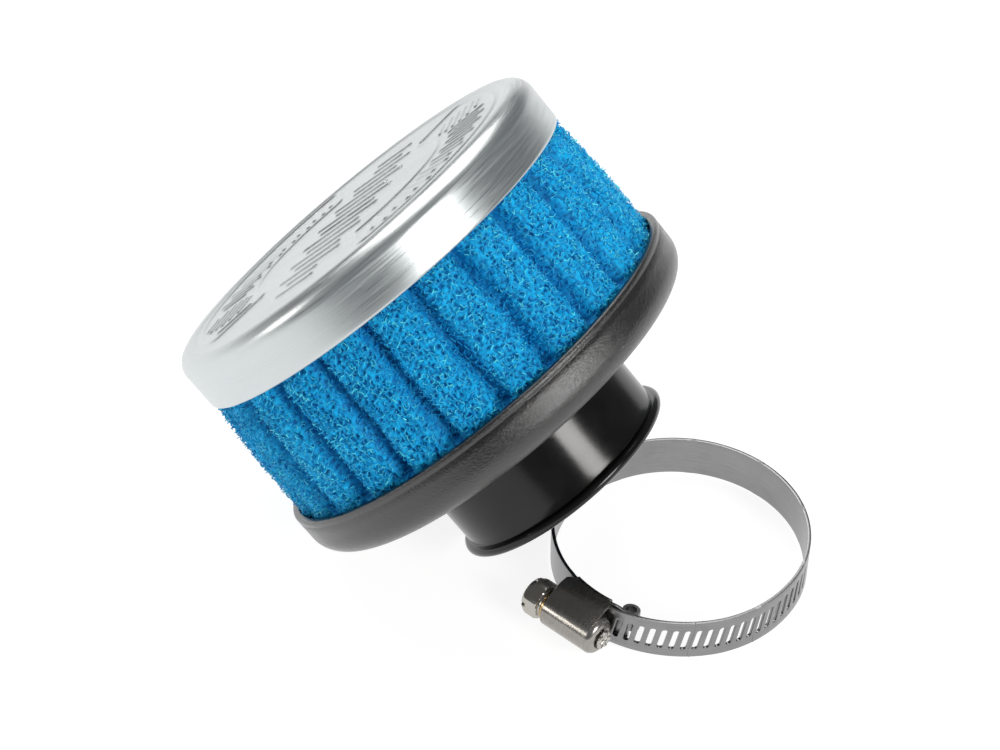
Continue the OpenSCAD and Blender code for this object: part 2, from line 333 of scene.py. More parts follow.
def foam_paint(name, low, high, roughness):
    """Open-cell foam: the colour follows the mesh's tone_and_painted_shade attribute, a painted shade that darkens
    the deep pores, the grooves and the deeper strands and leaves the outer strands light.
    """
    paint = Paint(name, Roughness=roughness, Specular_IOR_Level=0.3, IOR=1.5)
    tone_and_painted_shade = paint.add("Attribute", "Fac", {"attribute_name": "tone_and_painted_shade"})
    speck = paint.noise(paint.coordinates(), 1.3, 3.0, 0.6)
    # Painted shade: the colour runs from dark in the pores and grooves to light on the outer strands.
    mixed = paint.maths("ADD", paint.span(tone_and_painted_shade, 0.0, 0.8), paint.span(speck, -0.12, 0.32, 0.3, 0.7))
    paint.set(paint.shader, "Base_Color", paint.ramp(mixed, (0.05, low), (0.95, high)))
    paint.bump(speck, 0.4, 0.1)
    return paint.material


RUBBER_BASE = rubber("base_rubber", 1.0, (0.11, 0.24), 0.9)
RUBBER_NECK = rubber("neck_rubber", 0.38, (0.12, 0.17), 0.06)
CAP_STEEL = brushed_metal(
    "cap_sheet_steel", ((0.56, 0.59, 0.595), (0.65, 0.69, 0.695)), (0.24, 0.42), (0.3, 0.3, 5.0), 0.6
)
BAND_STEEL = brushed_metal(
    "band_sheet_steel", ((0.21, 0.21, 0.215), (0.34, 0.34, 0.345)), (0.26, 0.36), (0.15, 7.0, 7.0), 0.2
)
NICKEL = brushed_metal(
    "housing_nickel", ((0.26, 0.245, 0.225), (0.40, 0.38, 0.355)), (0.14, 0.24), (0.8, 3.0, 0.8), 0.35,
    metallic=0.9,
)
SCREW_NICKEL = brushed_metal(
    "screw_nickel", ((0.40, 0.385, 0.35), (0.58, 0.56, 0.52)), (0.16, 0.26), (1.5, 1.5, 1.5), 0.3,
    metallic=0.9,
)
BRASS = brushed_metal(
    "washer_brass", ((0.42, 0.28, 0.12), (0.62, 0.46, 0.22)), (0.2, 0.3), (2.0, 2.0, 2.0), 0.2
)
WIRE = brushed_metal(
    "cage_wire", ((0.42, 0.42, 0.42), (0.60, 0.60, 0.60)), (0.3, 0.4), (1.0, 1.0, 1.0), 0.2, attribute=""
)
# Foam colours, from the painted shade's dark end to its light end.
FOAM_CORE = foam_paint("foam_pores", (0.0, 0.15, 0.42), (0.0, 0.49, 0.92), 0.7)
FOAM_STRAND = foam_paint("foam_strands", (0.0, 0.38, 0.82), (0.14, 0.95, 1.0), 0.4)


def resin():
    """Cured adhesive: cloudy amber with small bubbles."""
    paint = Paint("bond_resin", Roughness=0.45)
    at = paint.coordinates(attribute="")
    cloud = paint.noise(at, 0.5, 4.0)
    amber = paint.ramp(cloud, (0.3, (0.42, 0.34, 0.2)), (0.7, (0.66, 0.58, 0.42)))
    paint.set(paint.shader, "Base_Color", amber)
    paint.bump(paint.noise(at, 2.0, 3.0), 0.5, 0.15)
    return paint.material


# ---- filter ----


def base_boot():
    """The rubber moulding: mouth bead, neck, floor and the cup that holds the foam."""
    corner_r, corner_h = BASE_R - BASE_CORNER, NECK_LEN + BASE_CORNER
    cup_r = BASE_R - LIP_WALL
    profile = [(BORE_R + 0.3, 0.0)]
    profile += arc(BEAD_R - BEAD_ROUND, BEAD_ROUND, BEAD_ROUND, -90, 90, 12)
    profile += arc(NECK_R + 0.25, 2 * BEAD_ROUND + 0.25, 0.25, 270, 180, 4)
    profile += arc(NECK_R + 0.6, NECK_LEN - 0.6, 0.6, 180, 90, 6)
    profile += arc(corner_r, corner_h, BASE_CORNER, -90, 0, 18)
    profile += [(BASE_R - 0.12 * sunk, LIP_H - h) for sunk, h in ((0, 1.5), (1, 1.35), (1, 1.15), (0, 1.0))]
    profile += arc(BASE_R - 0.5, LIP_H - 0.5, 0.5, 0, 90, 6)
    profile += arc(cup_r + 0.3, LIP_H - 0.3, 0.3, 90, 180, 4)
    profile += [(cup_r, FLOOR_TOP), (BORE_R, FLOOR_TOP), (BORE_R, 0.3)]
    points, faces = lathe(chop(profile, 1.2), 256)
    points[:, :2] *= 1 + 0.0006 * lattice_noise(points, 9.0, SEED)[:, None]
    obj = build_mesh("rubber_base", points, faces, FILTER, smooth_angle=40)
    finish_piece(obj, "filter", RUBBER_BASE, "rubber_black", "base_boot")
    obj.data.materials.append(RUBBER_NECK)
    on_neck = points[faces].mean(axis=1)[:, 2] < NECK_LEN - 0.4
    obj.data.polygons.foreach_set("material_index", on_neck.astype(np.int32))


def groove_share(angle, height):
    """1 at the bottom of a groove to 0 on a rib. The grooves wander a little, as cut foam does."""
    wander = lattice_noise(np.stack([np.ravel(angle) / 9, np.ravel(height) / 5], -1), 1.0, SEED + 4)
    turn = (angle / 360 * RIBS - GROOVE_PHASE + 0.035 * wander.reshape(np.shape(angle)) + 0.5) % 1 - 0.5
    across = turn * 2 * math.pi * FOAM_LOW_R / RIBS
    return np.exp(-np.abs(across / 1.3) ** 2.4), across


def foam_radius(angle, height):
    """Outer radius of the ribbed foam, at an angle in degrees and a height."""
    share = np.clip((height - LIP_H) / (CAP_RIM - LIP_H), 0, 1)
    plain = FOAM_LOW_R + (FOAM_TOP_R - FOAM_LOW_R) * share + 0.35 * np.sin(math.pi * share)
    groove, across = groove_share(angle, height)
    rib = GROOVE * groove
    crown = 0.35 * (1 - np.cos(2 * math.pi * (across / (2 * math.pi * plain / RIBS)))) / 2
    inside = ease((LIP_H + 0.6 - height) / 1.5) + ease((height - CAP_RIM + 0.6) / 1.5)
    return plain - (rib - crown + 0.35) * (1 - np.clip(inside, 0, 1)) - 0.2 * np.clip(inside, 0, 1)


def foam_core():
    """The foam's body, its outer face pitted by cells."""
    columns, rows = 768, 92
    angles = np.linspace(0, 360, columns, endpoint=False)
    heights = np.linspace(FOAM_BOTTOM, FOAM_TOP - 1.5, rows)
    spin, height = np.meshgrid(angles, heights)
    radius = foam_radius(spin, height) - 0.55
    shown = ease((height - LIP_H + 1.5) / 1.0) * ease((CAP_RIM + 1.0 - height) / 1.0)
    a = np.radians(spin)
    flat = np.stack([radius * np.cos(a), radius * np.sin(a), height], -1).reshape(-1, 3)
    pit = cell_depth(flat, PIT_CELL, SEED + 1).reshape(radius.shape)
    lumps = lattice_noise(flat, 2.6, SEED).reshape(radius.shape)
    radius = radius + shown * (0.75 * pit - 0.45) + 0.12 * lumps
    outer = np.stack([radius * np.cos(a), radius * np.sin(a), height], -1)
    caps = [(FOAM_LOW_R - 2.5, FOAM_TOP), (FOAM_BORE_R, FOAM_TOP)]
    caps += [(FOAM_BORE_R, h) for h in np.linspace(FOAM_TOP - 1, FOAM_BOTTOM + 1, 28)]
    caps += [(FOAM_BORE_R, FOAM_BOTTOM)]
    ring = np.radians(angles)
    inner_flat = np.concatenate([circle(r, h, ring) for r, h in caps])
    inner_pit = cell_depth(inner_flat, PIT_CELL, SEED + 2)
    inner_flat[:, :2] *= 1 + (0.5 * (1 - inner_pit) / FOAM_BORE_R)[:, None]
    points = np.concatenate([outer.reshape(-1, 3), inner_flat])
    faces = grid_faces(rows + len(caps), columns, wrap_rows=True)
    obj = build_mesh("foam_body", points, faces, FILTER)
    # Painted shade: the foam body is coloured darker in the middles of its pits and along its grooves.
    shade = 1 - 0.75 * groove_share(spin, height)[0] * shown
    store_tone_and_painted_shade(obj, np.concatenate([(pit * shade).ravel(), inner_pit]))
    finish_piece(obj, "filter", FOAM_CORE, "foam_blue", "foam_sleeve")


def store_tone_and_painted_shade(obj, values):
    """Stores a painted shade for each point of the foam, darker the deeper it lies, together with each strand's
    own tone; it sets the colour.
    """
    attribute = obj.data.attributes.new("tone_and_painted_shade", "FLOAT", "POINT")
    attribute.data.foreach_set("value", np.asarray(values, np.float32))


def cell_depth(points, cell, seed):
    """0 in the middle of a foam cell to 1 on the wall between two, for cells scattered in space."""
    low = np.floor(points / cell).astype(np.int64)
    nearest = np.full(len(points), 9.0)
    second = np.full(len(points), 9.0)
    for offset in np.ndindex(3, 3, 3):
        home = low + np.array(offset) - 1
        jitter = np.stack([hashed(home, seed + k) for k in range(3)], -1) * 0.38 + 0.5
        gap = np.linalg.norm(points / cell - home - jitter, axis=1)
        second = np.minimum(second, np.maximum(nearest, gap))
        nearest = np.minimum(nearest, gap)
    return 1 - ease((second - nearest) / 0.45)


def foam_cell():
    """The corners of one 14-sided foam cell, and the links between them and their neighbours."""
    corners = []
    for quarter, half in ((1, 2), (2, 1), (0, 2), (2, 0), (0, 1), (1, 0)):
        for sign in (-0.25, 0.25):
            corner = [0.0, 0.0, 0.0]
            corner[quarter] = sign
            corner[half] = 0.5
            corners.append(corner)
    corners = np.array(corners)
    links = []
    for i, first in enumerate(corners):
        for j, second in enumerate(corners):
            for shift in np.ndindex(3, 3, 3):
                step = np.array(shift) - 1
                touching = abs(np.linalg.norm(second + step - first) - math.sqrt(2) / 4) < 1e-6
                if touching and (i, tuple(first)) < (j, tuple(second + step)):
                    links.append((i, j, step))
    return corners, links


def foam_strands():
    """The outermost layer of the foam's open cells, as real strands between cell corners."""
    size = STRAND_CELL
    corners, links = foam_cell()
    turn = np.array(Matrix.Rotation(0.7, 3, Vector((0.3, 0.8, 0.52)).normalized()))
    reach = int(46 / size) + 1
    span = np.arange(-reach, reach + 1)
    cells = np.stack(np.meshgrid(span, span, span, indexing="ij"), -1).reshape(-1, 3)
    middle = np.array([0, 0, (LIP_H + CAP_RIM) / 2])
    centre = (cells + 0.25) * size @ turn.T + middle
    radius = np.hypot(centre[:, 0], centre[:, 1])
    near = np.abs(radius - FOAM_LOW_R + 1) < 3.2
    near &= np.abs(centre[:, 2] - middle[2]) < (CAP_RIM - LIP_H) / 2 + 2.5
    cells = cells[near]
    starts, ends, keys = [], [], []
    for i, j, step in links:
        start, key = strand_corner(cells, i, corners, size, turn, middle)
        end, _ = strand_corner(cells + step, j, corners, size, turn, middle)
        starts.append(start)
        ends.append(end)
        keys.append(key)
    a, b, keys = (np.concatenate(part) for part in (starts, ends, keys))
    mid = (a + b) / 2
    spin = np.degrees(np.arctan2(mid[:, 1], mid[:, 0])) % 360
    depth = foam_radius(spin, mid[:, 2]) - np.hypot(mid[:, 0], mid[:, 1])
    keep = (depth > -0.1 - 0.1 * hashed(keys, 3)) & (depth < 0.54) & (hashed(keys, 4) > -0.42)
    keep &= (mid[:, 2] > LIP_H - 0.7) & (mid[:, 2] < CAP_RIM + 0.25)
    a, b, keys, depth, spin, mid = (part[keep] for part in (a, b, keys, depth, spin, mid))
    points, faces = prisms(a, b, 0.085 + 0.03 * hashed(keys, 5))
    obj = build_mesh("foam_strands", points, faces, FILTER)
    # Painted shade: strands lying deeper and in the grooves are coloured darker; the random factor is each
    # strand's own tone.
    strand_tone_and_shade = (0.5 + 0.5 * hashed(keys, 6)) ** 2 * np.clip(1 - depth / 0.8, 0, 1)
    store_tone_and_painted_shade(obj, np.repeat(strand_tone_and_shade * (1 - 0.9 * groove_share(spin, mid[:, 2])[0]), 6))
    finish_piece(obj, "filter", FOAM_STRAND, "foam_blue")


def strand_corner(cells, index, corners, size, turn, middle):
    """Where one corner of each cell lies, jittered the same way for every cell that shares it."""
    site = cells + corners[index]
    key = np.round(site * 4).astype(np.int64)
    jitter = np.stack([hashed(key, 11 + k) for k in range(3)], -1) * 0.2
    return (site + jitter) * size @ turn.T + middle, key


def prisms(a, b, radius):
    """A three-sided strand from each point of a to the same one of b."""
    along = b - a
    along /= np.linalg.norm(along, axis=1)[:, None]
    helper = np.where(np.abs(along[:, 2:]) > 0.8, np.array([[1.0, 0, 0]]), np.array([[0, 0, 1.0]]))
    side = np.cross(along, helper)
    side /= np.linalg.norm(side, axis=1)[:, None]
    other = np.cross(along, side)
    rings = []
    for end in (a, b):
        for k in range(3):
            angle = 2 * math.pi * k / 3
            rings.append(end + radius[:, None] * (math.cos(angle) * side + math.sin(angle) * other))
    points = np.stack(rings, 1).reshape(-1, 3)
    base = np.arange(len(a))[:, None, None] * 6
    quads = np.array([[0, 1, 4, 3], [1, 2, 5, 4], [2, 0, 3, 5]])[None]
    return points, (base + quads).reshape(-1, 4)


def ridge(distance, width, blur=0.45):
    """A raised line of the given width round distance 0."""
    return ease((width / 2 + blur / 2 - np.abs(distance)) / blur)


def pad(distance, blur=0.45):
    """A raised area where distance is below 0."""
    return ease(0.5 - distance / blur)


def bar(x, y, start, end, radius):
    """Distance from a straight bar with round ends."""
    run = np.subtract(end, start)
    share = np.clip(((x - start[0]) * run[0] + (y - start[1]) * run[1]) / max(run @ run, 1e-9), 0, 1)
    return np.hypot(x - start[0] - share * run[0], y - start[1] - share * run[1]) - radius


def polar(radius, angle):
    return (radius * math.cos(math.radians(angle)), radius * math.sin(math.radians(angle)))


def arc_panel(x, y, middle, half_span, r_low, r_high, corner=1.6):
    """Distance from a curved panel with round corners, centred at an angle."""
    angle = (np.degrees(np.arctan2(y, x)) - middle + 180) % 360 - 180
    radius = np.hypot(x, y)
    mid_r = (r_low + r_high) / 2
    d_r = np.abs(radius - mid_r) - (r_high - r_low) / 2 + corner
    d_a = (np.abs(angle) - half_span) * math.pi / 180 * mid_r + corner
    return np.hypot(np.maximum(d_r, 0), np.maximum(d_a, 0)) + np.minimum(np.maximum(d_r, d_a), 0) - corner


def hatched_disc(x, y, centre, radius, heading):
    """Parallel ribs that together fill a disc."""
    turn = math.radians(heading)
    shape = np.zeros_like(x)
    for step in np.arange(-radius + 0.8, radius, 1.55):
        half = math.sqrt(radius**2 - step**2) - 0.5
        middle = (centre[0] - step * math.sin(turn), centre[1] + step * math.cos(turn))
        run = (half * math.cos(turn), half * math.sin(turn))
        start, end = np.subtract(middle, run), np.add(middle, run)
        shape = np.maximum(shape, pad(bar(x, y, start, end, 0.34)))
    return shape


RELIEF, DISH, RELIEF_RIBS = 0.24, 0.3, 15


def cap_relief(x, y):
    """Height of the stamped ornament: fluted arc panels with hatched discs, and a row of ribs."""
    shapes = []
    for middle, half_span, disc in ((196, 62, 237), (10, 57, 44)):
        shapes.append(ridge(arc_panel(x, y, middle, half_span, 19.6, 31.6), 0.7))
        shapes.append(hatched_disc(x, y, polar(25.6, disc), 4.9, disc + 60))
        for k, at in enumerate(np.arange(middle - half_span + 6, middle + half_span - 5, 4.8)):
            if abs(at - disc) > 14:
                half = 3.4 if k % 2 else 2.2
                shapes.append(pad(bar(x, y, polar(25.6 - half, at), polar(25.6 + half, at), 0.45)))
    along = np.array([12, -51]) / math.hypot(12, 51)
    across = np.array([-along[1], along[0]])
    for k in range(RELIEF_RIBS):
        middle = 3.5 * (k - (RELIEF_RIBS - 1) / 2) * along
        half = 8.4 * math.sqrt(1 - (middle @ middle) / 27.5**2) - (2.4 if k % 2 else 0.0)
        shapes.append(pad(bar(x, y, middle - half * across, middle + half * across, 0.55)))
    return np.maximum.reduce(shapes)


def top_cap():
    """The pressed steel cap: stamped top, round shoulder, skirt with a hemmed rim, and its underside."""
    columns = 600
    ring = np.linspace(0, 2 * math.pi, columns, endpoint=False)
    flat_r = CAP_R - SHOULDER
    radii = np.linspace(0.4, flat_r, 120)
    spin, radius = np.meshgrid(ring, radii)
    x, y = radius * np.cos(spin), radius * np.sin(spin)
    sunk = RELIEF * cap_relief(x, y) - DISH * (1 - ease((radius - 32.6) / 1.4))
    top = np.stack([x, y, CAP_TOP + sunk], -1)
    profile = [(flat_r + 0.001, CAP_TOP)]
    profile += arc(flat_r, CAP_TOP - SHOULDER, SHOULDER, 86, 4, 12)
    profile += [(CAP_R, h) for h in np.linspace(CAP_TOP - SHOULDER, CAP_RIM + 0.6, 8)]
    profile += arc(CAP_R - SHEET / 2, CAP_RIM + SHEET / 2, SHEET / 2, -20, -160, 6)
    profile += [(CAP_R - SHEET, CAP_RIM + 1.5), (CAP_R - SHEET, CAP_TOP - SHOULDER)]
    profile += arc(flat_r, CAP_TOP - SHOULDER, SHOULDER - SHEET, 0, 90, 6)
    profile += [(flat_r * 0.5, CAP_TOP - SHEET), (0.4, CAP_TOP - SHEET)]
    turned, _ = lathe(profile, columns)
    points = np.concatenate([top.reshape(-1, 3), turned])
    rows = len(radii) + len(profile)
    faces = [list(f) for f in grid_faces(rows, columns)]
    faces.append(list(range(columns))[::-1])
    faces.append(list(range((rows - 1) * columns, rows * columns)))
    points[:, 2] += 0.025 * lattice_noise(points, 14.0, SEED + 3) * (points[:, 2] > CAP_TOP - SHOULDER)
    brushed = points * (0.3, 0.3, 1)
    brushed[: top.size // 3] = np.stack([0.15 * x.ravel(), np.zeros(x.size), y.ravel()], -1)
    obj = build_mesh("steel_cap", points, faces, FILTER, brushed, smooth_angle=50)
    finish_piece(obj, "filter", CAP_STEEL, "cap_steel", "top_cap")


def dress_cage():
    """The CAD's own cage and bond solids, seen through the neck, with their materials."""
    bond = resin()
    for node, obj in frame["nodes"].items():
        if node.startswith("cage_") or node.endswith("_bond"):
            obj.data.materials.clear()
            obj.data.materials.append(WIRE if node.startswith("cage_") else bond)


# ---- clamp band ----


def tail_runs():
    """The band's inner face as arcs, from the tongue to the tail: centre, radius, start and end angle."""
    a = TAIL_START_R * np.array([math.cos(math.radians(TAIL_TO)), math.sin(math.radians(TAIL_TO))])
    far = math.radians(TAIL_TO + LINK_STEP)
    b = BAND_R * np.array([math.cos(far), math.sin(far)])
    chord = b - a
    length = np.linalg.norm(chord)
    spiral_r = BAND_R + 0.6
    rise = math.sqrt(spiral_r**2 - length**2 / 4)
    centre = (a + b) / 2 + rise * np.array([-chord[1], chord[0]]) / length

    def heading(point, middle):
        return math.degrees(math.atan2(point[1] - middle[1], point[0] - middle[0]))

    return [
        ((0, 0), BAND_R, FIXED_TO, TAIL_TO + LINK_STEP - 360),
        (tuple(centre), spiral_r, heading(b, centre), heading(a, centre)),
        (TAIL_C, TAIL_R, heading(a, TAIL_C), TAIL_FROM),
    ]


RUNS = tail_runs()
RUN_LENGTHS = [r * math.radians(start - end) for _, r, start, end in RUNS]
BAND_LENGTH = sum(RUN_LENGTHS)


def band_point(distance, height, rise):
    """Points of the band, from distances along it, heights across it and rises from its inner face."""
    distance = np.asarray(distance, float)
    out = np.zeros((len(distance), 3))
    begins = np.concatenate([[0], np.cumsum(RUN_LENGTHS)[:-1]])
    which = np.clip(np.searchsorted(begins, distance, side="right") - 1, 0, None)
    for n, ((cx, cy), r, start, _) in enumerate(RUNS):
        here = which == n
        angle = np.radians(start) - (distance[here] - begins[n]) / r
        out[here, 0] = cx + (r + rise[here]) * np.cos(angle)
        out[here, 1] = cy + (r + rise[here]) * np.sin(angle)
    out[:, 2] = height
    return out


def ring_distance(angle):
    """Distance along the band of a ring angle on its round run."""
    return BAND_R * math.radians(FIXED_TO - angle)


LEVELS = np.array([-4.0, -3.2, -2.1, -1.05, 0.0, 1.05, 2.1, 3.2, 4.0])


def slotted_sheet(start, end, slots):
    """Flat points and faces of the band between two distances, with slanted round-ended slots."""
    lean = -math.tan(math.radians(SLOT_SLANT))
    pitch = SLOT_PITCH
    points, faces = [], []

    def skew(v):
        return np.clip(v, -SLOT_LEN / 2, SLOT_LEN / 2) * lean

    def add(rows):
        first = len(points)
        points.extend(rows)
        return first

    def plain(left, right, left_skew, right_skew):
        if right - left < 0.02:
            return
        steps = max(1, round((right - left) / 0.8))
        for k in range(steps):
            corners = []
            for v in LEVELS:
                for share in (k / steps, (k + 1) / steps):
                    shift = skew(v) * (left_skew * (1 - share) + right_skew * share)
                    corners.append((left + (right - left) * share + shift, v))
            first = add(corners)
            for i in range(len(LEVELS) - 1):
                faces.append([first + 2 * i, first + 2 * i + 1, first + 2 * i + 3, first + 2 * i + 2])

    def slot_cell(centre):
        half_w, half_l = SLOT_W / 2, SLOT_LEN / 2 - SLOT_W / 2
        hole, rim = [], []
        for k in range(24):
            side = 1 if k < 12 else -1
            angle = math.radians(180 * (k % 12) / 11) + (0 if side > 0 else math.pi)
            u = half_w * math.copysign(abs(math.cos(angle)) ** 0.85, math.cos(angle))
            v = half_w * math.copysign(abs(math.sin(angle)) ** 0.85, side) + side * half_l
            hole.append((centre + u + skew(v), v))
        side = [(pitch / 2, v) for v in LEVELS[4:]]
        top = [(pitch / 4 * k, LEVELS[-1]) for k in (1, 0, -1)]
        back = [(-u, v) for u, v in side[:0:-1]]
        half_rim = side + top + back
        loop_rim = [(centre + u + skew(v), v) for u, v in half_rim]
        loop_rim += [(centre - u - skew(v), -v) for u, v in half_rim]
        first = add(hole + loop_rim)
        for k in range(24):
            n = (k + 1) % 24
            faces.append([first + k, first + 24 + k, first + 24 + n, first + n])

    at = start
    skewed = 0
    for centre in slots:
        plain(at, centre - pitch / 2, skewed, 1)
        slot_cell(centre)
        at, skewed = centre + pitch / 2, 1
    plain(at, end, skewed, 0)
    return np.array(points), faces


def resample(line, count):
    """count points evenly spaced along a line of points, both ends included."""
    line = np.array(line)
    run = np.concatenate([[0], np.cumsum(np.linalg.norm(np.diff(line, axis=0), axis=1))])
    wanted = np.linspace(0, run[-1], count)
    return [(float(np.interp(w, run, line[:, 0])), float(np.interp(w, run, line[:, 1]))) for w in wanted]


def thicken(flat, faces, name, free_end=False):
    """Wraps a flat sheet round the ring, gives it thickness and rounds its edges."""
    mesh = bmesh.new()
    for u, v in flat:
        mesh.verts.new((u, v, 0))
    mesh.verts.ensure_lookup_table()
    for face in faces:
        mesh.faces.new([mesh.verts[i] for i in face])
    bmesh.ops.remove_doubles(mesh, verts=mesh.verts, dist=0.01)
    bmesh.ops.recalc_face_normals(mesh, faces=mesh.faces)
    if sum(f.normal.z for f in mesh.faces) < 0:
        bmesh.ops.reverse_faces(mesh, faces=mesh.faces)
    outer = bmesh.ops.extrude_face_region(mesh, geom=mesh.faces[:])
    for v in outer["geom"]:
        if isinstance(v, bmesh.types.BMVert):
            v.co.z = BAND_T
    bmesh.ops.recalc_face_normals(mesh, faces=mesh.faces)
    last = max(v.co.x for v in mesh.verts) if not free_end else 1e9
    first = min(v.co.x for v in mesh.verts)
    sharp = [
        e for e in mesh.edges
        if e.calc_face_angle(0) > 1.2 and all(first + 0.01 < v.co.x < last - 0.01 for v in e.verts)
    ]
    bmesh.ops.bevel(mesh, geom=sharp, offset=EDGE, segments=2, affect="EDGES", profile=0.5)
    co = np.array([v.co for v in mesh.verts])
    mesh.verts.ensure_lookup_table()
    for i, v in enumerate(mesh.verts):
        v.index = i
    quads = [[v.index for v in f.verts] for f in mesh.faces]
    mesh.free()
    wrapped = band_point(co[:, 0], co[:, 1] + BAND_W / 2, co[:, 2])
    return build_mesh(name, wrapped, quads, RING, local=co, smooth_angle=35)


def slot_centres():
    """Distances along the band of all its slots, counted back from the tail's end."""
    last = BAND_LENGTH - 1.2 * SLOT_PITCH
    first = ring_distance(LAST_SLOT - 360)
    count = int((last - first) / SLOT_PITCH) + 1
    return [last - k * SLOT_PITCH for k in range(count)][::-1]


def band_pieces():
    """The band in lengths that each span one hinge, with their joins half way along the links."""
    slots = slot_centres()
    hinges = [ring_distance(FIXED_FROM - LINK_STEP * k) for k in range(8)] + [sum(RUN_LENGTHS[:2])]
    joins = [hinges[0] - 2.5]
    for a, b in zip(hinges, hinges[1:]):
        joins.append(between_slots((a + b) / 2, slots))
    joins.append(between_slots(hinges[-1] + 5.0, slots))
    for k, hinge in enumerate(hinges):
        start, end = joins[k], joins[k + 1]
        flat, faces = slotted_sheet(start, end, [s for s in slots if start < s < end])
        obj = thicken(flat, faces, f"band_bend_{k + 1}")
        finish_piece(obj, None, BAND_STEEL, "band_steel", f"band_link_{k + 1}")
        reach = 3.0 if 0 < k < 8 else 2.0
        before, after = mid_band(hinge - reach), mid_band(hinge + reach)
        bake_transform(obj)
    flat, faces = slotted_sheet(joins[-1], BAND_LENGTH, [s for s in slots if joins[-1] < s])
    finish_piece(thicken(flat, faces, "band_tail", free_end=True), "link_9", BAND_STEEL, "band_steel")
    fixed_end(joins[0])


def mid_band(distance):
    """The middle of the strip at a distance along it, in the row frame."""
    return row_point(band_point([distance], BAND_W / 2, np.array([BAND_T / 2]))[0], RING)


def between_slots(distance, slots):
    """The nearest distance that lies midway between two slots."""
    if distance < slots[0] - SLOT_PITCH / 2:
        return distance
    steps = round((distance - slots[0]) / SLOT_PITCH - 0.5)
    return slots[0] + (steps + 0.5) * SLOT_PITCH


def fixed_end(join):
    """The fixed end of the band: ears under the housing, and a tongue with a curled tip."""
    half = BAND_W / 2
    ear_low, ear_high = ring_distance(11), ring_distance(-9)
    stations = {TONGUE_END, 1.0, ear_low - 0.3, ear_low, ear_high, ear_high + 0.3, join}
    stations = sorted(stations | set(np.linspace(2, join - 0.5, 16)))
    points, faces = [], []
    for s in stations:
        grow = EAR if ear_low <= s <= ear_high else 0.0
        low = -half + 1.5 * (1 - ease((s - TONGUE_END) / 1.1)) - grow
        high = half - 0.7 * (1 - ease(s / 2.4)) + grow
        points += [(s, v) for v in np.linspace(low, high, 9)]
    for k in range(len(stations) - 1):
        faces += [[9 * k + i, 9 * k + 9 + i, 9 * k + 10 + i, 9 * k + 1 + i] for i in range(8)]
    obj = thicken(np.array(points), faces, "band_tongue")
    finish_piece(obj, "clamp", BAND_STEEL, "band_steel", "band_fixed_end")
    curl()


def curl():
    """The tongue's tip, rolled back inside the ring."""
    turns = np.radians(np.linspace(0, 300, 28))
    inner, outer = 0.8, 0.8 + BAND_T * 0.8
    loop = []
    for radius in (outer, inner):
        row = [(1.25 * radius * math.sin(t), radius * math.cos(t) - outer) for t in turns]
        loop += row if radius == outer else row[::-1]
    widths = np.linspace(-0.6, BAND_W / 2 - 0.7, 9)
    points = []
    for v in widths:
        for along, rise in loop:
            points.append((TONGUE_END - along, v, BAND_T + rise))
    points = np.array(points)
    count = len(loop)
    faces = [list(f) for f in grid_faces(len(widths), count)]
    faces += [list(range(count))[::-1], list(range((len(widths) - 1) * count, len(widths) * count))]
    wrapped = band_point(points[:, 0], points[:, 1] + BAND_W / 2, points[:, 2])
    obj = build_mesh("band_curl", wrapped, faces, RING, local=points, smooth_angle=45)
    finish_piece(obj, "clamp", BAND_STEEL, "band_steel")


# ---- screw housing and screw ----


def along_screw(sections):
    """Points (x, y, z) of the housing's frame from closed sections, and the faces that join them."""
    return np.concatenate(sections), [list(f) for f in grid_faces(len(sections), len(sections[0]))]


def saddle_line(trim):
    """The housing sheet's outer line in section: foot, shoulder, round roof, shoulder, foot."""
    low = [(22.6 + trim, -EAR), (24.0, -EAR), (24.8, -0.5), (25.6, -0.3), (26.6, 0.15)]
    roof = arc(WORM_X, WORM_Z, ROOF_R, -60, 60, 25)
    high = [(x, BAND_W - z) for x, z in reversed(low)]
    return resample(low + roof + high, 64)


def offset_line(line, distance):
    """The line moved sideways by distance, towards its left."""
    line = np.array(line)
    run = np.gradient(line, axis=0)
    run /= np.linalg.norm(run, axis=1)[:, None]
    return line + distance * np.stack([-run[:, 1], run[:, 0]], -1)


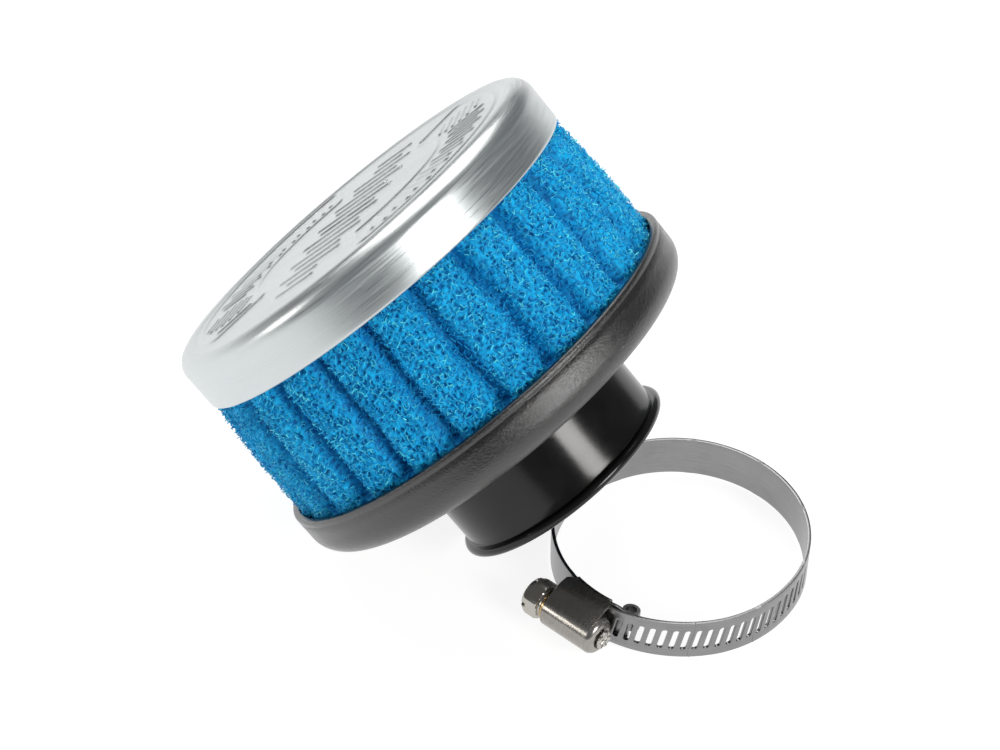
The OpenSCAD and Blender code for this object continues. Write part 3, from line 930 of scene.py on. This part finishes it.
def clamp_housing():
    """The saddle over the screw: a bent sheet with a rolled front end and a domed far end."""
    half = HOUSING_LEN / 2
    sections = []
    stations = [n - half for n in (0, 0.12, 0.3, 0.6, 1.0, 1.4)]
    stations += [*np.linspace(2 - half, half - 2, 9), half - 1.4, half - 1.1]
    for y in stations:
        bend = np.clip((1.4 - half + abs(y)) / 1.4, 0, 1)
        outer = np.array(saddle_line(1.2 * (1 - math.sqrt(1 - bend**2))))
        pinch = 0.12 if y < -half + 0.01 else 0.0
        inner = offset_line(outer, SHELL - pinch)
        foot = (inner[:, 0] < 24.8) & (np.abs(inner[:, 1] - BAND_W / 2) < BAND_W / 2 + FOOT_GAP)
        inner[foot, 1] = BAND_W / 2 + np.sign(inner[foot, 1] - BAND_W / 2) * (BAND_W / 2 + FOOT_GAP)
        line = np.concatenate([offset_line(outer, pinch), inner[::-1]])
        sections.append(np.stack([line[:, 0], np.full(len(line), y), line[:, 1]], -1))
    points, faces = along_screw(sections)
    count = len(sections[0])
    faces += bridge(0, count, flip=False) + bridge((len(sections) - 1) * count, count, flip=True)
    dome = [(half - 1.3, ROOF_R), (half - 0.9, ROOF_R - 0.05), (half - 0.45, ROOF_R - 0.3)]
    dome += [(half - 0.1, ROOF_R - 0.8), (half + 0.02, ROOF_R - 1.4), (half, 1.95)]
    dome += [(half - 0.7, 1.5), (half - 0.8, ROOF_R - SHELL)]
    front = [(1.4 - half, ROOF_R - 0.02), (0.1 - half, ROOF_R - 0.02), (-half, ROOF_R - 0.15), (-half, 2.3)]
    front += [(0.15 - half, 1.95), (0.7 - half, 1.95), (0.8 - half, ROOF_R - SHELL)]
    points, faces = joined([(points, faces), end_wall(dome), end_wall(front)])
    obj = build_mesh("clamp_saddle", points, faces, HOUSING, smooth_angle=38)
    finish_piece(obj, "clamp", NICKEL, "housing_nickel", "clamp_housing")


def bridge(first, count, flip):
    """Faces that close a bent sheet's end, whose loop runs out and back."""
    quads = []
    for k in range(count // 2 - 1):
        quad = [first + k, first + k + 1, first + count - 2 - k, first + count - 1 - k]
        quads.append(quad[::-1] if flip else quad)
    return quads


def end_wall(profile, columns=72):
    """A wall turned about the screw, cut off flat where the band runs under it."""
    room = WORM_X - (TAIL_R + BAND_T + 0.3)

    def cut_off(angles, _station, radius):
        limit = np.where(np.cos(angles) < -0.05, room / np.maximum(-np.cos(angles), 0.05), 99.0)
        return np.minimum(radius, limit)

    rows = turned_rows(profile, columns, cut_off)
    return np.concatenate(rows), [list(f)[::-1] for f in grid_faces(len(rows), columns)]


def joined(parts):
    """Several sets of points and faces as one."""
    points, faces, first = [], [], 0
    for some, quads in parts:
        points.append(np.asarray(some, float))
        faces += [[i + first for i in f] for f in quads]
        first += len(some)
    return np.concatenate(points), faces


def turned_rows(profile, columns, shape=None):
    """Rows of points about the screw's axis, from (station, radius). shape may change a row's radii."""
    angles = np.linspace(0, 2 * math.pi, columns, endpoint=False)
    rows = []
    for y, r in profile:
        reach = np.full(columns, float(r)) if shape is None else shape(angles, y, r)
        x, z = WORM_X + reach * np.cos(angles), WORM_Z + reach * np.sin(angles)
        rows.append(np.stack([x, np.full(columns, y), z], -1))
    return rows


def hex_radius(angles, _station, radius):
    """A hexagon's radius at each angle, rounded off to a circle of the given radius."""
    side = (angles + math.pi / 6) % (math.pi / 3) - math.pi / 6
    return np.minimum(HEX_AF / 2 / np.cos(side), radius)


def screw():
    """Slotted hex head, collar, helical worm and the peened point."""
    half = HOUSING_LEN / 2
    head_in = -half - WASHER_T - 0.15 - COLLAR_T
    head_out = head_in - HEX_LEN
    corner = HEX_AF / 2 / math.cos(math.radians(30))
    columns = 144
    head = [(head_out + 0.25, 0.02), (head_out + 0.25, 1.4), (head_out + 0.12, 2.0), (head_out, 2.3)]
    head += [(head_out + 0.1, corner - 0.75), (head_out + 0.35, corner - 0.42)]
    head += [(head_out + 0.75, corner - 0.12), (head_out + 1.2, corner), (head_in - 0.35, corner)]
    head += [(head_in - 0.1, corner - 0.25), (head_in, corner - 0.5)]
    collar_end = head_in + COLLAR_T
    head += [(head_in + 0.02, COLLAR_R), (collar_end - 0.1, COLLAR_R), (collar_end, COLLAR_R - 0.1)]
    head += [(collar_end, SCREW_NECK), (0.9 - half, SCREW_NECK)]
    worm = [(y, WORM_ROOT) for y in np.linspace(-WORM_HALF, WORM_HALF, 120)]

    def thread(angles, station, radius):
        phase = (station / SLOT_PITCH - angles / (2 * math.pi) + 0.5) % 1 - 0.5
        fade = ease((WORM_HALF - abs(station)) / 0.6)
        return radius + (WORM_R - WORM_ROOT) * ease((0.3 - np.abs(phase)) / 0.18) * fade

    point = [(WORM_HALF + 0.05, PILOT_R), (half + 0.2, PILOT_R), (half + 0.2, POINT_R - 0.05)]
    point += [(half + 0.35, POINT_R), (half + 0.6, POINT_R - 0.05), (half + 0.72, 1.4)]
    point += [(half + 0.6, 0.9), (half + 0.66, 0.35), (half + 0.6, 0.02)]
    rows = turned_rows(head, columns, hex_radius) + turned_rows(worm, columns, thread)
    rows += turned_rows(point, columns)
    angles = np.linspace(0, 2 * math.pi, columns, endpoint=False)
    for row, (_, r) in zip(rows[-5:-1], point[-5:-1]):
        row[:, 1] += 0.14 * np.cos(7 * angles) * (1 if r > 1 else -0.6)
    points, faces = along_screw(rows)
    count = len(rows)
    faces = [f[::-1] for f in faces]
    faces += [list(range(columns)), list(range((count - 1) * columns, count * columns))[::-1]]
    obj = build_mesh("screw", points, faces, HOUSING, smooth_angle=32)
    cut_slot(obj, head_out, corner)
    finish_piece(obj, "screw", SCREW_NICKEL, "screw_nickel", "clamp_screw")


def cut_slot(obj, head_out, corner):
    """Cuts the screwdriver slot across the head."""
    across, deep, wide = corner + 0.5, 1.1, 0.45
    box = [(WORM_X + sx * across, head_out + (deep if sy > 0 else -1.0), WORM_Z + sz * wide)
           for sx in (-1, 1) for sy in (-1, 1) for sz in (-1, 1)]
    sides = [[0, 1, 3, 2], [4, 6, 7, 5], [0, 4, 5, 1], [2, 3, 7, 6], [0, 2, 6, 4], [1, 5, 7, 3]]
    cutter = build_mesh("slot_cutter", box, sides, HOUSING)
    cut = obj.modifiers.new("slot", "BOOLEAN")
    cut.operation, cut.object, cut.solver = "DIFFERENCE", cutter, "EXACT"
    bpy.context.view_layer.update()
    made = bpy.data.meshes.new_from_object(obj.evaluated_get(bpy.context.evaluated_depsgraph_get()))
    obj.modifiers.clear()
    obj.data = made
    made.set_sharp_from_angle(angle=math.radians(32))
    bpy.data.objects.remove(cutter)


def washer():
    """Thrust washer between the screw's collar and the housing."""
    outer = -HOUSING_LEN / 2 - 0.07
    rim = WASHER_R - 0.12
    profile = [(outer, 1.68), (outer, rim), (outer - 0.12, WASHER_R), (outer - WASHER_T + 0.12, WASHER_R)]
    profile += [(outer - WASHER_T, rim), (outer - WASHER_T, 1.68)]
    rows = turned_rows(profile, 72)
    faces = [list(f) for f in grid_faces(len(rows), 72, wrap_rows=True)]
    obj = build_mesh("thrust_washer", np.concatenate(rows), faces, HOUSING, smooth_angle=40)
    finish_piece(obj, "screw", BRASS, "washer_brass", "screw_washer")


# ---- studio ----

# Camera: place in millimetres, degrees it looks down, focal length
CAMERA_PLACE, CAMERA_DOWN, CAMERA_LENS = (-11.22, -268.12, 256.44), 41.094, 77.03


def studio():
    """Pale floor, soft lights and the camera."""
    floor_z = cad_box[0][2] - 0.1 * MM
    mesh = bpy.data.meshes.new("floor")
    reach = 6.0
    corners = [(x * reach, y * reach, floor_z) for x, y in ((-1, -1), (1, -1), (1, 1), (-1, 1))]
    mesh.from_pydata(corners, [], [(0, 1, 2, 3)])
    floor = bpy.data.objects.new("floor", mesh)
    bpy.context.scene.collection.objects.link(floor)
    paint = Paint("floor_paper", Base_Color=(0.25, 0.25, 0.25, 1), Roughness=0.9, Specular_IOR_Level=0.0)
    paint.set(paint.shader, "Emission_Color", (1, 1, 1, 1))
    paint.set(paint.shader, "Emission_Strength", 0.88)
    mesh.materials.append(paint.material)

    world = bpy.data.worlds.new("studio")
    bpy.context.scene.world = world
    world.use_nodes = True
    background = world.node_tree.nodes["Background"]
    background.inputs["Color"].default_value = (0.92, 0.96, 1.0, 1)
    background.inputs["Strength"].default_value = 0.2

    soft_light("key", (0.63, -0.61, 0.50), 0.36, 5.8, (1.0, 0.99, 0.97))
    soft_light("overhead", (-0.22, 0.42, 0.80), 0.9, 8.0, (1.0, 0.98, 0.95))
    soft_light("side", (-0.80, -0.22, 0.26), 0.2, 1.0, (1.0, 0.97, 0.93))

    camera = bpy.data.objects.new("camera", bpy.data.cameras.new("camera"))
    bpy.context.scene.collection.objects.link(camera)
    camera.location = Vector(CAMERA_PLACE) * MM
    camera.rotation_euler = (math.radians(90 - CAMERA_DOWN), 0, 0)
    camera.data.lens, camera.data.sensor_width = CAMERA_LENS, 36.0
    camera.data.clip_start, camera.data.clip_end = 0.01, 30
    bpy.context.scene.camera = camera
    bpy.context.scene.view_settings.view_transform = "Standard"


def soft_light(name, place, size, power, colour):
    """A square softbox that faces the filter."""
    light = bpy.data.lights.new(name, "AREA")
    light.size, light.energy, light.color = size, power, colour
    obj = bpy.data.objects.new(name, light)
    obj.location = place
    obj.rotation_euler = (Vector((0, 0, 0.02)) - Vector(place)).to_track_quat("-Z", "Y").to_euler()
    bpy.context.scene.collection.objects.link(obj)


base_boot()
foam_core()
foam_strands()
top_cap()
dress_cage()
band_pieces()
clamp_housing()
screw()
washer()
studio()
